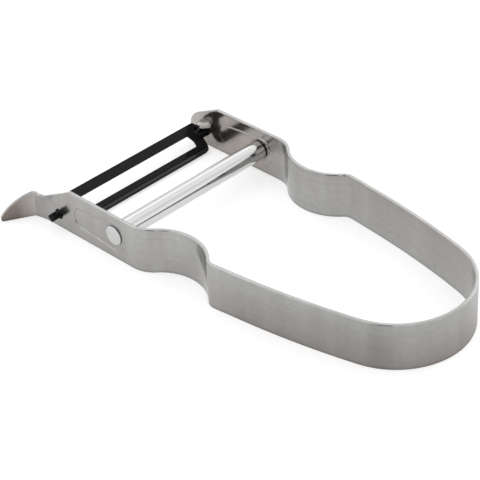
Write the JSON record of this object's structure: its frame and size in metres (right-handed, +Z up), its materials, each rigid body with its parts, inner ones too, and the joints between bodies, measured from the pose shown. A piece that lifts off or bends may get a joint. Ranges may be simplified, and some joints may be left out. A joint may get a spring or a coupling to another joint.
{
  "type": "vegetable peeler",
  "caption": "Y-shaped vegetable peeler: a bent steel strip bow as handle, a swivelling slotted black blade, a round cross bar and a bent-out gouger for eyes.",
  "frame": {"origin": "heel of the bow, at mid thickness of the strip, on the strip's lower edge", "axes": "+X along the peeler from the blade to the heel, so the bow opens towards -X; +Y from the arm with the gouger to the other arm; +Z up from the lower edge of the strip to its upper edge"},
  "size_m": [0.1347, 0.071, 0.014],
  "materials": {
    "strip_steel": "satin, brushed along the strip",
    "black_coating": "smooth black coating, semi-gloss",
    "bar_chrome": "polished",
    "rivet_steel": "polished, lightly domed"
  },
  "bodies": {
    "bow": {"frame_strip": "strip_steel", "spacer_tube": "bar_chrome", "tie_rivet": "rivet_steel"},
    "swivel": {"blade": "black_coating"}
  },
  "joints": [
    {"name": "blade_swivel", "type": "hinge", "parent": "bow", "child": "swivel", "pos_m": [-0.11854, 0, 0.0045], "axis": [0, 1, 0], "range_deg": [-91, 0]}
  ]
}
